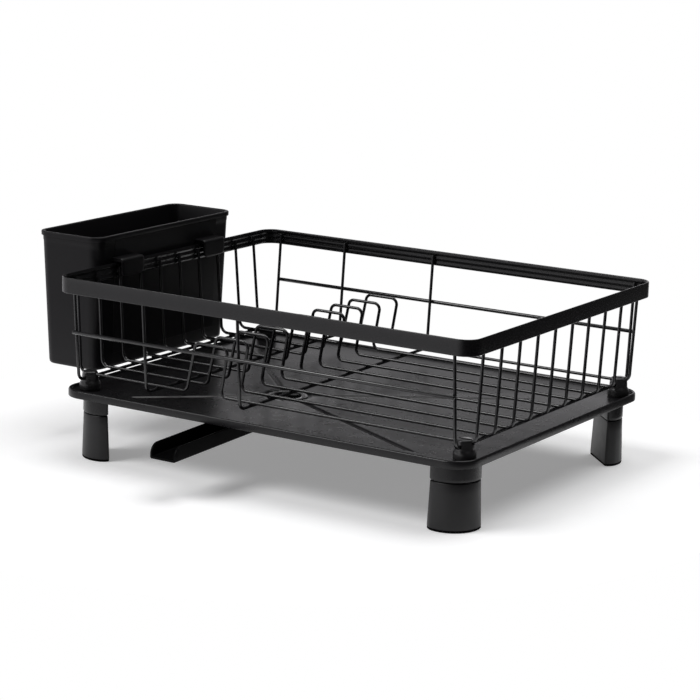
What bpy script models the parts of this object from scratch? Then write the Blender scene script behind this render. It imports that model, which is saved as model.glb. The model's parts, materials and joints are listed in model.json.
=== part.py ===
"""Dish drying rack: a wire basket standing in a drip tray on four legs, with a
swivel drain spout under the tray and a cutlery holder hung on the basket rim.

Metres, +Z up.  The rack stands on z = 0.  The plan sizes below are measured from
the centre of the basket rim, and the empty "rack" shifts everything so that the
middle of the whole outline is at x = y = 0.
"""
import math

import bmesh
import bpy
from mathutils import Vector

# ---- driving dimensions -------------------------------------------------------
GAP = 0.0003                # clearance left between touching pieces

WIRE = 0.0030               # diameter of the basket wires
RAIL = 0.0038               # diameter of the two straight side rails
WIRE_BEND = 0.0075          # centre-line radius where a long wire turns up
CROSS_BEND = 0.0070         # the same on the cross wires
HUMP_BEND = 0.0060          # centre-line radius at a hump's corners

RIM_LENGTH = 0.450
RIM_WIDTH = 0.350
RIM_TOP = 0.176
RIM_HEIGHT = 0.0150
RIM_WALL = 0.0022
RIM_EDGE = 0.0008           # bevel along the band's upper edge
RIM_CORNER = 0.0160

LONG_WIRES = 10             # wires along X
LONG_PITCH = 0.0327
LONG_FLOOR_Z = 0.0803
LONG_FLOOR_X = 0.2165
LEFT_LEAN = 0.0190          # forward lean of the left uprights, growing to the back
WIRE_TOP = RIM_TOP - 0.004

HUMP_FOOT = (-0.0915, -0.0533)      # x where a hump leaves and meets the floor run
HUMP_CREST = (-0.0820, -0.0455)     # x of its two upper corners
HUMP_TOP = 0.1270

CROSS_X = (-0.2055, -0.1255, -0.0195, 0.2055)   # wires along Y
CROSS_FLOOR_Z = LONG_FLOOR_Z - WIRE - GAP
CROSS_FLOOR_Y = 0.1640

RAIL_Z = 0.1240
RAIL_HALF = 0.2070

TRAY_X = (-0.2245, 0.2210)
TRAY_WIDTH = 0.344
TRAY_CORNER = 0.024
TRAY_SKIRT = 0.0605         # lower edge of the tray's side
TRAY_CREST = 0.0680
TRAY_EDGE_FLOOR = 0.0650    # floor level along the lip
TRAY_WALL = 0.0020
TRAY_LIP = ((0.0, 0.0024), (0.0007, 0.0008), (0.0022, 0.0), (0.0032, 0.0007))   # insets and drops
TRAY_LIP_FOOT = 0.0040      # inset where the lip meets the floor
TRAY_LEDGE = 0.0100         # inset where the floor starts to fall

DRAIN = (-0.055, -0.035)
DRAIN_RADIUS = 0.0240       # where the sloping floor meets the drain recess
DRAIN_EDGE_Z = 0.0606
DRAIN_SEAT_Z = 0.0586
DRAIN_SLOPE = 0.0015        # how far the recess narrows down to its seat
DRAIN_BORE = 0.0170

RING_BORE = 0.0135
RING_FLANGE = 0.0200        # radius
RING_THICK = 0.0013
RING_BEVEL = 0.0006
RING_SNAP = 0.0012          # how far the snap lip stands out past the bore
RING_SNAP_HEIGHT = 0.0018
SEAL_RADII = (0.0173, 0.0220)

FOOT_RADIUS = 0.0103        # round drum of a basket foot
FOOT_DRUM = 0.0035          # height of its straight part
FOOT_SHOULDER = 0.0070      # height where the drum has drawn in to the block above it
FOOT_BLOCK = (0.0087, 0.0072)       # radius of the block at its foot and near its top
FOOT_BEVEL = 0.0015
FOOT_TOP = 0.0830

LEG_X = (-0.1930, 0.1918)   # centres of the legs' flat inner faces
LEG_Y = 0.1392
LEG_WIDTH = 0.0458
LEG_END = 0.0063            # flat end face beside the curved front
LEG_BULGE = 0.0150
LEG_SEAM = 0.0445
LEG_STEP = 0.0005           # how far a leg lies inside its socket's outline
LEG_FLARE = 0.0011          # how far its foot stands out past that outline
LEG_WAIST = 0.0220          # height where the flare ends
SOCKET_WALL = 0.0026
SOCKET_TOP = 0.0590
SPIGOT_TOP = 0.0580
PAD_HEIGHT = 0.0017
PAD_STEP = 0.0002           # how far a pad lies inside the leg's outline

SPOUT_WIDTH = 0.0280
SPOUT_WALL = 0.0020
SPOUT_TIP_Y = -0.2320
SPOUT_TIP_Z = 0.0378
SPOUT_FALL = 0.0274         # drop per metre of run
SPOUT_SIDE = 0.0137
SPOUT_ROUND = 0.0090
CHANNEL_END = -0.0330       # y from the pivot where the channel's upper edge meets the cup
BAR_END = -0.0190           # y from the pivot where the channel ends inside the cup
INLET = (-0.0300, -0.0050)  # y of the opening from the cup to the channel
CUP_RADIUS = 0.0230
CUP_LAP = 0.0008            # the channel's walls run this far into the cup's
CUP_BASE = 0.0432
CUP_TOP = 0.0548
BORE_SHIFT = 0.0060         # how far the bore's cutter is shifted up from the cup

HOLDER_X = (-0.3043, -0.2269)       # outside of the lip
HOLDER_Y = (-0.1090, 0.1150)
HOLDER_TOP = 0.2020
HOLDER_BASE = 0.0697
HOLDER_WALL = 0.0020
HOLDER_CORNER = 0.0120
HOLDER_EDGE = 0.0010        # bevels of the rim
HOLDER_BASE_EDGE = 0.0020   # bevel round the base
LIP_DEPTH = 0.0016
LIP_HEIGHT = 0.0045
DRAFT = 0.0322              # lean of the four sides

HOOK_Y = 0.0670             # centre of each hook
HOOK_WIDTH = 0.0340
HOOK_TOP = 0.1803
HOOK_BOTTOM = 0.1625
HOOK_PLATE = 0.0025
HOOK_CORNER = 0.0060
HOOK_LAP = 0.0018           # the arm and the plate run this far into their neighbour
HOOK_INSIDE_X = -0.2186     # rim-side face of the plate, clear of the leaning wires

CORNER_STEPS = 7            # points on each rounded corner of the tray and rim
HOLDER_STEPS = 5            # points on each corner of the holder
ROUND_STEPS = 24            # sides of a turned piece

# ---- worked out from the above ------------------------------------------------
X_LOW = HOLDER_X[0]
X_HIGH = RIM_LENGTH / 2
Y_LOW = SPOUT_TIP_Y
Y_HIGH = RIM_WIDTH / 2
RACK_ORIGIN = Vector((-(X_LOW + X_HIGH) / 2, -(Y_LOW + Y_HIGH) / 2, 0))


# ---- outlines -----------------------------------------------------------------
def rounded_rect(half_x, half_y, radius, steps=CORNER_STEPS, centre=(0, 0)):
    """Points of a rounded rectangle, anticlockwise from the right side."""
    points = []
    for corner, (sx, sy) in enumerate(((1, 1), (-1, 1), (-1, -1), (1, -1))):
        for step in range(steps):
            angle = math.pi / 2 * (corner + step / (steps - 1))
            x = centre[0] + sx * (half_x - radius) + radius * math.cos(angle)
            y = centre[1] + sy * (half_y - radius) + radius * math.sin(angle)
            points.append((x, y))
    return points


def circle(radius, count, centre=(0, 0)):
    """Points of a circle, starting half a step past +X."""
    turns = [(step + 0.5) / count * math.tau for step in range(count)]
    return [(centre[0] + radius * math.cos(a), centre[1] + radius * math.sin(a)) for a in turns]


def leg_outline(inset, steps=9):
    """D-shaped leg outline: x along the flat face, y away from it."""
    radius = ((LEG_WIDTH / 2) ** 2 + LEG_BULGE ** 2) / (2 * LEG_BULGE)
    centre_y = LEG_END + LEG_BULGE - radius
    half = LEG_WIDTH / 2 - inset
    reach = math.asin(half / (radius - inset))
    points = [(-half, inset), (half, inset)]
    for step in range(steps):
        angle = reach * (1 - 2 * step / (steps - 1))
        arc = radius - inset
        points.append((arc * math.sin(angle), centre_y + arc * math.cos(angle)))
    return points


def filleted(corners, radius, steps=4):
    """Path through the corners, with every inner corner turned on an arc."""
    corners = [Vector(corner) for corner in corners]
    path = [corners[0]]
    for before, corner, after in zip(corners, corners[1:], corners[2:]):
        back = (before - corner).normalized()
        ahead = (after - corner).normalized()
        half = back.angle(ahead) / 2
        middle = corner + (back + ahead).normalized() * (radius / math.sin(half))
        start = corner + back * (radius / math.tan(half)) - middle
        end = corner + ahead * (radius / math.tan(half)) - middle
        for step in range(steps):
            path.append(middle + start.slerp(end, step / (steps - 1)) * radius)
    path.append(corners[-1])
    return path


# ---- building blocks ----------------------------------------------------------
def material(name, colour, roughness, metallic=0.0):
    """Principled material of one colour."""
    mat = bpy.data.materials.new(name)
    mat.use_nodes = True
    shader = mat.node_tree.nodes["Principled BSDF"]
    shader.inputs["Base Color"].default_value = (*colour, 1)
    shader.inputs["Roughness"].default_value = roughness
    shader.inputs["Metallic"].default_value = metallic
    return mat


def place(name, data, parent, finish, location=(0, 0, 0), turn=0.0):
    """Put an object into the scene under its parent."""
    obj = bpy.data.objects.new(name, data)
    bpy.context.scene.collection.objects.link(obj)
    obj.parent = parent
    obj.location = location
    obj.rotation_euler = (0, 0, turn)
    if finish:
        data.materials.clear()
        data.materials.append(finish)
    return obj


def pivot(name, parent, location):
    """Empty on a joint's axis that carries a moving assembly."""
    empty = bpy.data.objects.new(name, None)
    bpy.context.scene.collection.objects.link(empty)
    empty.parent = parent
    empty.location = location
    return empty


def mesh_from(form, name):
    """Finish a bmesh: faces outward, smooth with sharp edges kept."""
    bmesh.ops.recalc_face_normals(form, faces=form.faces)
    mesh = bpy.data.meshes.new(name)
    form.to_mesh(mesh)
    form.free()
    mesh.shade_smooth()
    mesh.set_sharp_from_angle(angle=math.radians(35))
    return mesh


def loft(name, loops, ring=False):
    """Skin a list of (outline, z) loops, closed as a ring or capped at both ends."""
    form = bmesh.new()
    rows = [[form.verts.new((x, y, z)) for x, y in outline] for outline, z in loops]
    pairs = list(zip(rows, rows[1:]))
    if ring:
        pairs.append((rows[-1], rows[0]))
    else:
        form.faces.new(rows[0])
        form.faces.new(rows[-1])
    for lower, upper in pairs:
        for i in range(len(lower)):
            j = (i + 1) % len(lower)
            form.faces.new((lower[i], lower[j], upper[j], upper[i]))
    return mesh_from(form, name)


def turned(name, profile, centre=(0, 0), ring=False):
    """Turned piece from (radius, z) points."""
    return loft(name, [(circle(r, ROUND_STEPS, centre), z) for r, z in profile], ring)


def prism(name, outline, low, high, axis="X"):
    """Outline of (y, z) or (x, z) points, extruded along X or Y."""
    form = bmesh.new()
    if axis == "X":
        ends = [[form.verts.new((along, a, b)) for a, b in outline] for along in (low, high)]
    else:
        ends = [[form.verts.new((a, along, b)) for a, b in outline] for along in (low, high)]
    for end in ends:
        form.faces.new(end)
    for i in range(len(outline)):
        j = (i + 1) % len(outline)
        form.faces.new((ends[0][i], ends[0][j], ends[1][j], ends[1][i]))
    return mesh_from(form, name)


def block(name, low, high):
    """Plain box between two corners."""
    outline = [(low[1], low[2]), (high[1], low[2]), (high[1], high[2]), (low[1], high[2])]
    return prism(name, outline, low[0], high[0])


def combined(name, base, steps):
    """Join or cut meshes one after another with exact Booleans."""
    target = bpy.data.objects.new(name, base)
    bpy.context.scene.collection.objects.link(target)
    tools = []
    for operation, mesh in steps:
        tool = bpy.data.objects.new(name + "_tool", mesh)
        bpy.context.scene.collection.objects.link(tool)
        modifier = target.modifiers.new(operation, "BOOLEAN")
        modifier.operation = operation
        modifier.object = tool
        modifier.solver = "EXACT"
        tools.append(tool)
    bpy.context.view_layer.update()
    shaped = target.evaluated_get(bpy.context.evaluated_depsgraph_get())
    result = bpy.data.meshes.new_from_object(shaped)
    for obj in [target, *tools]:
        bpy.data.objects.remove(obj)
    result.shade_smooth()
    result.set_sharp_from_angle(angle=math.radians(35))
    return result


def wire(name, path, diameter, parent, finish):
    """Round wire along a path of points."""
    curve = bpy.data.curves.new(name, "CURVE")
    curve.dimensions = "3D"
    curve.bevel_depth = diameter / 2
    curve.bevel_resolution = 2
    curve.use_fill_caps = True
    curve.render_resolution_u = 0
    spline = curve.splines.new("POLY")
    spline.points.add(len(path) - 1)
    for point, place_at in zip(spline.points, path):
        point.co = (*place_at, 1)
    return place(name, curve, parent, finish)


# ---- basket -------------------------------------------------------------------
def rim_loop(inset, z):
    """Rim outline moved in by inset, at height z."""
    half_x = RIM_LENGTH / 2 - inset
    half_y = RIM_WIDTH / 2 - inset
    return rounded_rect(half_x, half_y, RIM_CORNER - inset), z


def make_rim(parent, finish):
    """Upright band with a rounded upper edge."""
    bottom = RIM_TOP - RIM_HEIGHT
    section = [
        (0, bottom), (0, RIM_TOP - RIM_EDGE), (RIM_EDGE, RIM_TOP),
        (RIM_WALL - RIM_EDGE, RIM_TOP), (RIM_WALL, RIM_TOP - RIM_EDGE), (RIM_WALL, bottom),
    ]
    mesh = loft("rim_band", [rim_loop(inset, z) for inset, z in section], ring=True)
    return place("rim_band", mesh, parent, finish)


def make_long_wire(index, parent, finish):
    """Wire along X: up at both ends, with one leaning hump that stands a plate."""
    y = (index - (LONG_WIRES - 1) / 2) * LONG_PITCH
    top_x = RIM_LENGTH / 2 - RIM_WALL - GAP - WIRE / 2
    floor = LONG_FLOOR_Z
    half_span = (LONG_WIRES - 1) / 2 * LONG_PITCH
    top_left = (-top_x, y - (y + half_span) * LEFT_LEAN, WIRE_TOP)
    left = filleted([top_left, (-LONG_FLOOR_X, y, floor), (HUMP_FOOT[0], y, floor)], WIRE_BEND)
    hump = [
        (-LONG_FLOOR_X, y, floor), (HUMP_FOOT[0], y, floor), (HUMP_CREST[0], y, HUMP_TOP),
        (HUMP_CREST[1], y, HUMP_TOP), (HUMP_FOOT[1], y, floor), (LONG_FLOOR_X, y, floor),
    ]
    middle = filleted(hump, HUMP_BEND)
    right_end = [(HUMP_FOOT[1], y, floor), (LONG_FLOOR_X, y, floor), (top_x, y, WIRE_TOP)]
    right = filleted(right_end, WIRE_BEND)
    path = left[:-1] + middle[1:-1] + right[1:]
    return wire(f"long_wire_{index + 1:02d}", path, WIRE, parent, finish)


def make_cross_wire(index, parent, finish):
    """Wire along Y below the long wires: up at the front and the back."""
    x = CROSS_X[index]
    top_y = RIM_WIDTH / 2 - RIM_WALL - GAP - WIRE / 2
    floor = CROSS_FLOOR_Z
    corners = [
        (x, -top_y, WIRE_TOP), (x, -CROSS_FLOOR_Y, floor),
        (x, CROSS_FLOOR_Y, floor), (x, top_y, WIRE_TOP),
    ]
    return wire(f"cross_wire_{index + 1}", filleted(corners, CROSS_BEND), WIRE, parent, finish)


def make_rail(name, side, parent, finish):
    """Straight rail welded outside the upright ends of the cross wires."""
    top_y = RIM_WIDTH / 2 - RIM_WALL - GAP - WIRE / 2
    rise = (RAIL_Z - CROSS_FLOOR_Z) / (WIRE_TOP - CROSS_FLOOR_Z)
    riser_y = CROSS_FLOOR_Y + (top_y - CROSS_FLOOR_Y) * rise
    y = side * (riser_y + WIRE / 2 + GAP + RAIL / 2)
    path = [(-RAIL_HALF, y, RAIL_Z), (RAIL_HALF, y, RAIL_Z)]
    return wire(name, [Vector(point) for point in path], RAIL, parent, finish)


def basket_foot_mesh():
    """Drum with a rounded shoulder and a block on it that grips a long wire and a cross wire."""
    base = TRAY_EDGE_FLOOR + GAP
    bell = [
        (FOOT_RADIUS, base), (FOOT_RADIUS, base + FOOT_DRUM),
        ((FOOT_RADIUS + FOOT_BLOCK[0]) / 2, base + (FOOT_DRUM + 2 * FOOT_SHOULDER) / 3),
        (FOOT_BLOCK[0], base + FOOT_SHOULDER), (FOOT_BLOCK[1], FOOT_TOP - FOOT_BEVEL),
        (FOOT_BLOCK[1] - FOOT_BEVEL, FOOT_TOP),
    ]
    slot = WIRE / 2 + GAP
    reach = 2 * FOOT_RADIUS
    for_cross = block("slot", (-slot, -reach, CROSS_FLOOR_Z - slot), (slot, reach, FOOT_TOP + slot))
    for_long = block("slot", (-reach, -slot, LONG_FLOOR_Z - slot), (reach, slot, FOOT_TOP + slot))
    cuts = [("DIFFERENCE", for_cross), ("DIFFERENCE", for_long)]
    return combined("basket_foot", turned("bell", bell), cuts)


def make_basket(rack, steel, rubber):
    """Everything that lifts out of the tray with the basket."""
    basket = pivot("basket_lift", rack, (0, 0, 0))
    make_rim(basket, steel)
    for index in range(LONG_WIRES):
        make_long_wire(index, basket, steel)
    for index in range(len(CROSS_X)):
        make_cross_wire(index, basket, steel)
    make_rail("front_rail", -1, basket, steel)
    make_rail("back_rail", 1, basket, steel)
    foot = basket_foot_mesh()
    foot_y = (LONG_WIRES - 1) / 2 * LONG_PITCH
    for name, sx, sy in corners_by_name("basket_foot"):
        place(name, foot, basket, rubber, (sx * CROSS_X[3], sy * foot_y, 0))


def corners_by_name(prefix):
    """Name and signs of the four corners."""
    sides = (("front_left", -1, -1), ("front_right", 1, -1), ("back_left", -1, 1), ("back_right", 1, 1))
    return [(f"{prefix}_{side}", sx, sy) for side, sx, sy in sides]


# ---- tray and legs ------------------------------------------------------------
def tray_loop(inset, z):
    """Tray outline moved in by inset, at height z."""
    half_x = (TRAY_X[1] - TRAY_X[0]) / 2 - inset
    half_y = TRAY_WIDTH / 2 - inset
    centre = (sum(TRAY_X) / 2, 0)
    return rounded_rect(half_x, half_y, TRAY_CORNER - inset, centre=centre), z


def drain_loop(radius, z):
    """Circle about the drain, with as many points as the tray outline."""
    return circle(radius, 4 * CORNER_STEPS, DRAIN), z


def leg_loop(inset, z, corner_x, corner_y):
    """Leg outline at one corner of the tray, turned to face outward."""
    along = Vector((-corner_y, corner_x)).normalized()
    outward = Vector((corner_x, corner_y)).normalized()
    middle = Vector((LEG_X[0] if corner_x < 0 else LEG_X[1], corner_y * LEG_Y))
    points = [middle + along * x + outward * y for x, y in leg_outline(inset)]
    return [tuple(point) for point in points], z


def make_tray(rack, plastic):
    """Tray whose four floor planes fall to the drain, with the leg sockets below."""
    under = TRAY_EDGE_FLOOR - TRAY_WALL
    loops = [tray_loop(0, TRAY_SKIRT)]
    loops += [tray_loop(inset, TRAY_CREST - depth) for inset, depth in TRAY_LIP]
    loops += [
        tray_loop(TRAY_LIP_FOOT, TRAY_EDGE_FLOOR), tray_loop(TRAY_LEDGE, TRAY_EDGE_FLOOR),
        drain_loop(DRAIN_RADIUS, DRAIN_EDGE_Z), drain_loop(DRAIN_RADIUS - DRAIN_SLOPE, DRAIN_SEAT_Z),
        drain_loop(DRAIN_BORE, DRAIN_SEAT_Z), drain_loop(DRAIN_BORE, DRAIN_SEAT_Z - TRAY_WALL),
        drain_loop(DRAIN_RADIUS, DRAIN_SEAT_Z - TRAY_WALL),
        tray_loop(TRAY_LEDGE, under), tray_loop(TRAY_WALL, under), tray_loop(TRAY_WALL, TRAY_SKIRT),
    ]
    shell = loft("shell", loops, ring=True)
    sockets = []
    for _, sx, sy in corners_by_name("socket"):
        walls = [
            leg_loop(SOCKET_WALL, SOCKET_TOP, sx, sy), leg_loop(SOCKET_WALL, LEG_SEAM + GAP, sx, sy),
            leg_loop(0, LEG_SEAM + GAP, sx, sy), leg_loop(0, under + GAP, sx, sy),
        ]
        sockets.append(("UNION", loft("socket", walls)))
    return place("drip_tray", combined("drip_tray", shell, sockets), rack, plastic)


def make_legs(rack, plastic, rubber):
    """Push-in legs that flare at the foot, with a spigot inside the socket, each on a rubber pad."""
    spigot = SOCKET_WALL + GAP
    for name, sx, sy in corners_by_name("leg"):
        loops = [
            leg_loop(-LEG_FLARE, PAD_HEIGHT + GAP, sx, sy), leg_loop(LEG_STEP, LEG_WAIST, sx, sy),
            leg_loop(LEG_STEP, LEG_SEAM - GAP, sx, sy), leg_loop(spigot, LEG_SEAM - GAP, sx, sy),
            leg_loop(spigot, SPIGOT_TOP, sx, sy),
        ]
        place(name, loft(name, loops), rack, plastic)
    for name, sx, sy in corners_by_name("foot_pad"):
        loops = [leg_loop(PAD_STEP, 0, sx, sy), leg_loop(PAD_STEP, PAD_HEIGHT, sx, sy)]
        place(name, loft(name, loops), rack, rubber)


# ---- drain and spout ----------------------------------------------------------
def make_drain(rack, plastic, rubber):
    """Flanged ring through the tray that holds the spout up, and the washer under the tray."""
    flange = DRAIN_SEAT_Z + GAP
    rim = flange + RING_THICK
    sleeve = DRAIN_BORE - GAP
    plate = CUP_TOP - SPOUT_WALL - GAP
    end = plate - RING_SNAP_HEIGHT
    ring = [
        (RING_BORE, rim - RING_BEVEL), (RING_BORE + RING_BEVEL, rim), (RING_FLANGE - RING_BEVEL, rim),
        (RING_FLANGE, rim - RING_BEVEL), (RING_FLANGE, flange), (sleeve, flange), (sleeve, plate),
        (DRAIN_BORE + RING_SNAP, plate - GAP), (DRAIN_BORE, end), (RING_BORE, end),
    ]
    place("drain_ring", turned("drain_ring", ring, DRAIN, ring=True), rack, plastic)
    low = CUP_TOP + GAP
    high = DRAIN_SEAT_Z - TRAY_WALL - GAP
    inner, outer = SEAL_RADII
    washer = [(inner, low), (outer, low), (outer, high), (inner, high)]
    place("drain_seal", turned("drain_seal", washer, DRAIN, ring=True), rack, rubber)


def spout_floor(y):
    """Height of the channel's underside at y from the pivot."""
    return SPOUT_TIP_Z + (y + DRAIN[1] - SPOUT_TIP_Y) * SPOUT_FALL


def make_spout(rack, plastic):
    """Open channel falling to its tip, on a cup that turns about the drain."""
    tip = SPOUT_TIP_Y - DRAIN[1]
    corners = [
        Vector((0, tip, spout_floor(tip))), Vector((0, tip, spout_floor(tip) + SPOUT_SIDE)),
        Vector((0, CHANNEL_END, spout_floor(CHANNEL_END) + SPOUT_SIDE)),
    ]
    side = [(point.y, point.z) for point in filleted(corners, SPOUT_ROUND, 6)]
    side += [(BAR_END, CUP_TOP - CUP_LAP), (BAR_END, CUP_BASE)]
    half = SPOUT_WIDTH / 2
    bar = prism("bar", side, -half, half)
    inner = half - SPOUT_WALL
    before = tip - SPOUT_WALL
    mouth = CUP_LAP - CUP_RADIUS
    trough = [
        (before, spout_floor(before) + SPOUT_WALL), (mouth, spout_floor(mouth) + SPOUT_WALL),
        (mouth, DRAIN_SEAT_Z), (before, DRAIN_SEAT_Z),
    ]
    plate = CUP_TOP - SPOUT_WALL
    basin = CUP_BASE + SPOUT_WALL
    inlet = [
        (INLET[0], spout_floor(INLET[0]) + SPOUT_WALL), (INLET[1], basin),
        (INLET[1], plate), (INLET[0], plate),
    ]
    bowl = CUP_RADIUS - SPOUT_WALL
    bore = DRAIN_BORE
    steps = [
        ("UNION", turned("cup", [(CUP_RADIUS, CUP_BASE), (CUP_RADIUS, CUP_TOP)])),
        ("DIFFERENCE", prism("trough", trough, -inner, inner)),
        ("DIFFERENCE", prism("inlet", inlet, -inner, inner)),
        ("DIFFERENCE", turned("bowl", [(bowl, basin), (bowl, plate)])),
        ("DIFFERENCE", turned("bore", [(bore, CUP_BASE + BORE_SHIFT), (bore, CUP_TOP + BORE_SHIFT)])),
    ]
    swivel = pivot("spout_swivel", rack, (*DRAIN, 0))
    return place("drain_spout", combined("drain_spout", bar, steps), swivel, plastic)


# ---- cutlery holder -----------------------------------------------------------
def holder_loop(z, offset):
    """Holder outline at height z, moved out by offset from its tapered wall."""
    inward = LIP_DEPTH + (HOLDER_TOP - z) * DRAFT - offset
    centre = (sum(HOLDER_X) / 2, sum(HOLDER_Y) / 2)
    half = ((HOLDER_X[1] - HOLDER_X[0]) / 2 - inward, (HOLDER_Y[1] - HOLDER_Y[0]) / 2 - inward)
    return rounded_rect(*half, HOLDER_CORNER + offset, HOLDER_STEPS, centre), z


def make_hook(centre_y):
    """Arm over the rim and plate down inside it, as two meshes to join."""
    low = centre_y - HOOK_WIDTH / 2
    high = centre_y + HOOK_WIDTH / 2
    outer_x = HOOK_INSIDE_X + HOOK_PLATE
    wall_x = HOLDER_X[1] - LIP_DEPTH - HOOK_LAP
    arm = block("arm", (wall_x, low, RIM_TOP + GAP), (outer_x, high, HOOK_TOP))
    top = HOOK_TOP - HOLDER_EDGE
    corners = [(0, low, top), (0, low, HOOK_BOTTOM), (0, high, HOOK_BOTTOM), (0, high, top)]
    tongue = [(point.y, point.z) for point in filleted(corners, HOOK_CORNER, 4)]
    return arm, prism("tongue", tongue, HOOK_INSIDE_X, outer_x)


def make_holder(rack, plastic):
    """Tapered open box with a rolled lip and two hooks, hung outside the left rim."""
    lip = HOLDER_TOP - LIP_HEIGHT
    edge = HOLDER_EDGE
    loops = [
        holder_loop(HOLDER_BASE + HOLDER_WALL, -HOLDER_WALL), holder_loop(HOLDER_TOP - edge, -HOLDER_WALL),
        holder_loop(HOLDER_TOP, -HOLDER_WALL + edge), holder_loop(HOLDER_TOP, LIP_DEPTH - edge),
        holder_loop(HOLDER_TOP - edge, LIP_DEPTH), holder_loop(lip, LIP_DEPTH), holder_loop(lip, 0),
        holder_loop(HOLDER_BASE + HOLDER_BASE_EDGE, 0), holder_loop(HOLDER_BASE, -HOLDER_BASE_EDGE),
    ]
    hooks = [("UNION", mesh) for side in (-1, 1) for mesh in make_hook(side * HOOK_Y)]
    mesh = combined("cutlery_holder", loft("box", loops), hooks)
    return place("cutlery_holder", mesh, pivot("holder_lift", rack, (0, 0, 0)), plastic)


# ---- assembly -----------------------------------------------------------------
def build():
    """Clear the scene and build the rack."""
    for obj in list(bpy.data.objects):
        bpy.data.objects.remove(obj)
    steel = material("black_coated_steel", (0.020, 0.020, 0.023), 0.42, 0.0)
    plastic = material("black_plastic", (0.022, 0.022, 0.024), 0.48)
    rubber = material("black_rubber", (0.014, 0.014, 0.015), 0.70)
    rack = pivot("rack", None, RACK_ORIGIN)
    make_tray(rack, plastic)
    make_legs(rack, plastic, rubber)
    make_drain(rack, plastic, rubber)
    make_spout(rack, plastic)
    make_basket(rack, steel, rubber)
    make_holder(rack, plastic)


build()
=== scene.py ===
"""Looks of the dish drying rack: a wire basket in a drip tray on four legs, with a
swivel spout under the tray and a cutlery holder on the rim.

Every piece is modelled in metres about the centre of the basket rim, put in place
there, and given to the body of the CAD solid that it stands for.
"""
import json
import math

import bmesh
import bpy
from mathutils import Matrix, Vector, noise

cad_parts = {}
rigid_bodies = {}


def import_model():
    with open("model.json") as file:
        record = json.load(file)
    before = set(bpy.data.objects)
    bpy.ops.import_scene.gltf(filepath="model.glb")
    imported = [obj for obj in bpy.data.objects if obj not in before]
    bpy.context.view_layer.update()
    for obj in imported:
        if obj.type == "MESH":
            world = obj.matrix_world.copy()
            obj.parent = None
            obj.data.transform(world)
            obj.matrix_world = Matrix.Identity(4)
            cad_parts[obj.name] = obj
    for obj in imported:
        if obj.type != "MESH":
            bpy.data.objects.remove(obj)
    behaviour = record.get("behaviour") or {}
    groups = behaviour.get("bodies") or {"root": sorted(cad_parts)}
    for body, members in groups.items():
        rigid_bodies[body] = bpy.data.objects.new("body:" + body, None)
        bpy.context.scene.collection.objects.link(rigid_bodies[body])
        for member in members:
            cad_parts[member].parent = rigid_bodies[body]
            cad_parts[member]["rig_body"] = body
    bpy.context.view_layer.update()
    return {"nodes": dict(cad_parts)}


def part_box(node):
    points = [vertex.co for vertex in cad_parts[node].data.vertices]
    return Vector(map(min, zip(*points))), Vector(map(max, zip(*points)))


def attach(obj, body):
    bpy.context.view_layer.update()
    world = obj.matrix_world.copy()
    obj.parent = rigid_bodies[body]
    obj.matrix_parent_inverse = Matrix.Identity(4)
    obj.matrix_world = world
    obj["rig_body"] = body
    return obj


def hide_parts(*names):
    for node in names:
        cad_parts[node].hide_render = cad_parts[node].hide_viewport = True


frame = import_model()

# ---- the frame ----------------------------------------------------------------
RIM_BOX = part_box("rim_band")
CENTRE = Vector(((RIM_BOX[0].x + RIM_BOX[1].x) / 2, (RIM_BOX[0].y + RIM_BOX[1].y) / 2, 0))


def cad(node):
    """Box of a CAD node, measured from the centre of the rim."""
    low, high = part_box(node)
    return low - CENTRE, high - CENTRE


MM = 0.001
GAP = 0.3 * MM

# basket
RIM_LOW, RIM_HIGH = cad("rim_band")
RIM_CORNER = 16 * MM
RIM_PLATE = 1.35 * MM       # sheet behind the beads
RIM_WALL = 2.2 * MM         # sheet and bead
RIM_BEADS = 3
BEAD_STEPS = 10
RIM_EDGE = 0.75 * MM
RIM_ROUND = 5               # points on a rounded edge
SEAM_Y = -3.8 * MM          # where the ends of the rim's strip are joined
SEAM_LINES = (-1.3 * MM, 0.9 * MM)
SEAM_SWING = 1.9 * MM
SEAM_BEAD = 0.42 * MM       # radius
SEAM_SUNK = 0.12 * MM
WIRE = 1.5 * MM             # radius
RAIL = 1.9 * MM             # radius
WIRE_END = 4 * MM           # from the rim's top down to the wires' ends
WIRE_BEND = 7.5 * MM
CROSS_BEND = 7 * MM
HUMP_BEND = 6 * MM
LONG_FLOOR_X = 216.5 * MM
CROSS_FLOOR_Y = 164 * MM
HUMP_FOOT = (-91.5 * MM, -53.3 * MM)
HUMP_CREST = (-82 * MM, -45.5 * MM)
HUMP_TOP = 127 * MM
LONG_NODES = sorted(n for n in frame["nodes"] if n.startswith("long_wire_"))
CROSS_NODES = sorted(n for n in frame["nodes"] if n.startswith("cross_wire_"))

# tray
TRAY_LOW, TRAY_HIGH = cad("drip_tray")
TRAY_CORNER = 24 * MM
TRAY_CREST = TRAY_HIGH.z
TRAY_SKIRT = TRAY_CREST - 7.5 * MM
TRAY_FLOOR = TRAY_CREST - 3 * MM
TRAY_WALL = 2 * MM
TRAY_LEDGE = 10 * MM        # level strip inside the lip
TRAY_SPAN = 12 * MM         # between points on its straight edges
TRAY_TURN = 12              # steps round a corner
TRAY_RINGS = 44             # rows of faces from the ledge to the drain
DRAIN_LOW, DRAIN_HIGH = cad("drain_ring")
DRAIN = Vector(((DRAIN_LOW.x + DRAIN_HIGH.x) / 2, (DRAIN_LOW.y + DRAIN_HIGH.y) / 2, 0))
DRAIN_RADIUS = 24 * MM
DRAIN_EDGE_Z = TRAY_FLOOR - 4.4 * MM
DRAIN_SEAT_Z = DRAIN_EDGE_Z - 2 * MM
DRAIN_BORE = 17 * MM
CHANNEL_ANGLES = (-132.0, -29.4, 30.7, 135.5)   # degrees from +X about the drain
CHANNEL_MARGINS = (21 * MM, 18 * MM, 78 * MM, 18 * MM)   # from the ledge to each channel's end
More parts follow.
